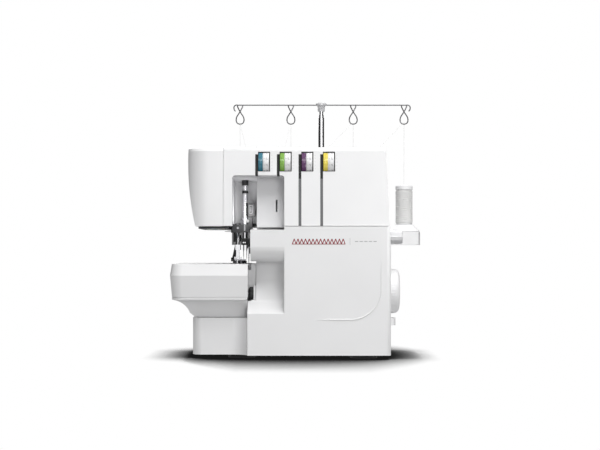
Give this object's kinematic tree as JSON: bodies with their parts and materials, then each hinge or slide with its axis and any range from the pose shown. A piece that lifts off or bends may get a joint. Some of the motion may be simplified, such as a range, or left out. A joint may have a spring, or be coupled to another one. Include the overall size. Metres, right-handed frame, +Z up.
{
  "type": "serger overlock machine",
  "caption": "White overlock sewing machine with coloured tension dials, a sliding sewing table, a hinged looper cover and a telescopic thread stand over spools.",
  "frame": {"origin": "middle of the machine's overall width and depth, on the surface it stands on", "axes": "+X to the machine's right, +Y to its back, +Z up"},
  "size_m": [0.3462, 0.29, 0.358],
  "materials": {
    "white_shell": "moulded white plastic, semi-gloss",
    "white_table": "moulded white plastic, semi-gloss",
    "grey_plastic": "moulded light grey plastic, satin",
    "dark_plastic": "moulded dark grey plastic, satin",
    "black_plastic": "moulded black plastic, glossy",
    "teal_dial": "moulded plastic, teal band beside a white numbered band",
    "green_dial": "moulded plastic, green band beside a white numbered band",
    "purple_dial": "moulded plastic, purple band beside a white numbered band",
    "yellow_dial": "moulded plastic, yellow band beside a white numbered band",
    "chrome": "polished chrome plate",
    "steel": "ground steel",
    "painted_casting": "dark painted die casting",
    "rubber": "matt black rubber",
    "lens": "frosted lamp lens",
    "silver_plastic": "silver painted plastic, satin",
    "spool_thread": "wound polyester sewing thread",
    "thread": "single sewing thread",
    "blackened_steel": "blackened steel",
    "wire": "bright drawn wire"
  },
  "bodies": {
    "frame": {"bottom_pan": "grey_plastic", "rubber_feet": "rubber", "rear_housing": "white_shell", "front_panel": "white_shell", "head_end_cover": "white_shell", "needle_bay_liner": "grey_plastic", "head_bottom_plate": "dark_plastic", "lamp_lens": "lens", "cast_frame": "painted_casting", "free_arm": "white_table", "needle_plate": "steel", "base_side_cover": "white_shell", "spool_tray": "white_shell", "spool_holders": "white_shell", "mast_outer_tube": "chrome", "power_inlet": "dark_plastic", "motor": "painted_casting", "drive_belt": "rubber", "shaft_bushes": "steel", "top_thread_guides": "chrome", "tension_discs": "blackened_steel", "case_screws": "steel", "presser_spring": "steel", "threads": "thread"},
    "handwheel": {"handwheel": "white_shell", "main_shaft": "steel"},
    "motor_rotor": {"motor_pulley": "steel"},
    "needle_bar": {"needle_bar": "chrome", "needle_clamp": "black_plastic", "needles": "steel"},
    "upper_looper": {"upper_looper": "steel"},
    "lower_looper": {"lower_looper": "steel"},
    "upper_knife": {"upper_knife_arm": "painted_casting", "upper_knife": "steel"},
    "feed_dogs": {"feed_dogs": "steel"},
    "lower_knife": {"lower_knife": "steel"},
    "cutting_width_dial": {"cutting_width_dial": "black_plastic"},
    "foot_lifter": {"foot_lifter": "black_plastic"},
    "presser_bar": {"presser_bar": "chrome"},
    "presser_foot": {"presser_foot": "chrome"},
    "pressure_dial": {"pressure_dial": "white_shell"},
    "tension_dial_1": {"tension_dial_1": "teal_dial"},
    "tension_dial_2": {"tension_dial_2": "green_dial"},
    "tension_dial_3": {"tension_dial_3": "purple_dial"},
    "tension_dial_4": {"tension_dial_4": "yellow_dial"},
    "cover_rod": {"cover_hinge_rod": "steel"},
    "looper_cover": {"looper_cover": "white_shell"},
    "table": {"table_top": "white_table", "table_skirt": "white_table"},
    "stitch_length_dial": {"stitch_length_dial": "silver_plastic"},
    "differential_dial": {"differential_dial": "silver_plastic"},
    "power_switch": {"power_switch": "white_shell"},
    "mast_middle": {"mast_middle": "chrome"},
    "thread_guide": {"mast_inner": "chrome", "guide_holder": "silver_plastic", "guide_bar": "wire"},
    "spool_1": {"spool_1": "spool_thread"},
    "spool_2": {"spool_2": "spool_thread"},
    "spool_3": {"spool_3": "spool_thread"},
    "spool_4": {"spool_4": "spool_thread"}
  },
  "joints": [
    {"name": "handwheel_spin", "type": "hinge", "parent": "frame", "child": "handwheel", "pos_m": [0.115, -0.05, 0.087], "axis": [1, 0, 0], "continuous": true},
    {"name": "motor_spin", "type": "hinge", "parent": "frame", "child": "motor_rotor", "pos_m": [0.07, 0.006, 0.046], "axis": [1, 0, 0], "continuous": true},
    {"name": "needle_bar_stroke", "type": "slide", "parent": "frame", "child": "needle_bar", "axis": [0, 0, 1], "range_m": [-0.019, 0]},
    {"name": "upper_looper_swing", "type": "hinge", "parent": "frame", "child": "upper_looper", "pos_m": [-0.036, -0.083, 0.08], "axis": [0, 1, 0], "range_deg": [0, 21]},
    {"name": "lower_looper_swing", "type": "hinge", "parent": "frame", "child": "lower_looper", "pos_m": [-0.056, -0.0695, 0.042], "axis": [0, 1, 0], "range_deg": [-13, 0]},
    {"name": "upper_knife_stroke", "type": "slide", "parent": "frame", "child": "upper_knife", "axis": [0, 0, 1], "range_m": [-0.009, 0]},
    {"name": "feed_dog_drop", "type": "slide", "parent": "frame", "child": "feed_dogs", "axis": [0, 0, 1], "range_m": [-0.0024, 0]},
    {"name": "cutting_width_turn", "type": "hinge", "parent": "frame", "child": "cutting_width_dial", "pos_m": [-0.066, -0.118, 0.086], "axis": [1, 0, 0], "range_deg": [0, 270]},
    {"name": "lower_knife_shift", "type": "slide", "parent": "frame", "child": "lower_knife", "axis": [1, 0, 0], "range_m": [0, 0.0029]},
    {"name": "foot_lifter_turn", "type": "hinge", "parent": "frame", "child": "foot_lifter", "pos_m": [-0.088, -0.033, 0.159], "axis": [1, 0, 0], "range_deg": [0, 20]},
    {"name": "presser_bar_lift", "type": "slide", "parent": "frame", "child": "presser_bar", "axis": [0, 0, 1], "range_m": [0, 0.006], "deforming": ["presser_spring"]},
    {"name": "presser_foot_tilt", "type": "hinge", "parent": "presser_bar", "child": "presser_foot", "pos_m": [-0.0877, -0.064, 0.1306], "axis": [1, 0, 0], "range_deg": [-5, 0]},
    {"name": "pressure_dial_turn", "type": "hinge", "parent": "frame", "child": "pressure_dial", "pos_m": [-0.0885, -0.076, 0.27], "axis": [0, 0, 1], "range_deg": [-360, 360]},
    {"name": "tension_1_turn", "type": "hinge", "parent": "frame", "child": "tension_dial_1", "pos_m": [-0.0505, -0.12452, 0.2578], "axis": [1, 0, 0], "range_deg": [-135, 135]},
    {"name": "tension_2_turn", "type": "hinge", "parent": "frame", "child": "tension_dial_2", "pos_m": [-0.0222, -0.12452, 0.2578], "axis": [1, 0, 0], "range_deg": [-135, 135]},
    {"name": "tension_3_turn", "type": "hinge", "parent": "frame", "child": "tension_dial_3", "pos_m": [0.0061, -0.12452, 0.2578], "axis": [1, 0, 0], "range_deg": [-135, 135]},
    {"name": "tension_4_turn", "type": "hinge", "parent": "frame", "child": "tension_dial_4", "pos_m": [0.0344, -0.12452, 0.2578], "axis": [1, 0, 0], "range_deg": [-135, 135]},
    {"name": "cover_shift", "type": "slide", "parent": "frame", "child": "cover_rod", "axis": [1, 0, 0], "range_m": [0, 0.008]},
    {"name": "cover_tilt", "type": "hinge", "parent": "cover_rod", "child": "looper_cover", "pos_m": [0.02, -0.136, 0.014], "axis": [1, 0, 0], "range_deg": [0, 85]},
    {"name": "table_pull", "type": "slide", "parent": "frame", "child": "table", "axis": [-1, 0, 0], "range_m": [0, 0.11]},
    {"name": "stitch_length_turn", "type": "hinge", "parent": "frame", "child": "stitch_length_dial", "pos_m": [0.125, -0.072, 0.1605], "axis": [1, 0, 0], "range_deg": [-150, 150]},
    {"name": "differential_turn", "type": "hinge", "parent": "frame", "child": "differential_dial", "pos_m": [0.125, -0.028, 0.1605], "axis": [1, 0, 0], "range_deg": [-150, 150]},
    {"name": "power_switch_rock", "type": "hinge", "parent": "frame", "child": "power_switch", "pos_m": [0.112, -0.062, 0.046], "axis": [0, 0, 1], "range_deg": [0, 12]},
    {"name": "mast_middle_slide", "type": "slide", "parent": "frame", "child": "mast_middle", "axis": [0, 0, 1], "range_m": [0, 0.105]},
    {"name": "thread_guide_slide", "type": "slide", "parent": "frame", "child": "thread_guide", "axis": [0, 0, 1], "range_m": [0, 0.21], "deforming": ["threads"]},
    {"name": "spool_1_spin", "type": "hinge", "parent": "frame", "child": "spool_1", "pos_m": [-0.0912, 0.095, 0.2], "axis": [0, 0, 1], "continuous": true},
    {"name": "spool_2_spin", "type": "hinge", "parent": "frame", "child": "spool_2", "pos_m": [-0.0168, 0.095, 0.2], "axis": [0, 0, 1], "continuous": true},
    {"name": "spool_3_spin", "type": "hinge", "parent": "frame", "child": "spool_3", "pos_m": [0.0744, 0.095, 0.2], "axis": [0, 0, 1], "continuous": true},
    {"name": "spool_4_spin", "type": "hinge", "parent": "frame", "child": "spool_4", "pos_m": [0.1488, 0.095, 0.2], "axis": [0, 0, 1], "continuous": true}
  ],
  "couplings": [
    {"joint": "motor_spin", "follows": "handwheel_spin", "ratio": 2.5714},
    {"joint": "upper_looper_swing", "follows": "needle_bar_stroke", "rad_per_m": -18.372},
    {"joint": "lower_looper_swing", "follows": "needle_bar_stroke", "rad_per_m": 11.023},
    {"joint": "upper_knife_stroke", "follows": "needle_bar_stroke", "ratio": 0.42},
    {"joint": "feed_dog_drop", "follows": "needle_bar_stroke", "ratio": 0.12},
    {"joint": "cutting_width_turn", "follows": "lower_knife_shift", "rad_per_m": 1612.9},
    {"joint": "foot_lifter_turn", "follows": "presser_bar_lift", "rad_per_m": 57.5},
    {"joint": "mast_middle_slide", "follows": "thread_guide_slide", "ratio": 0.5}
  ]
}
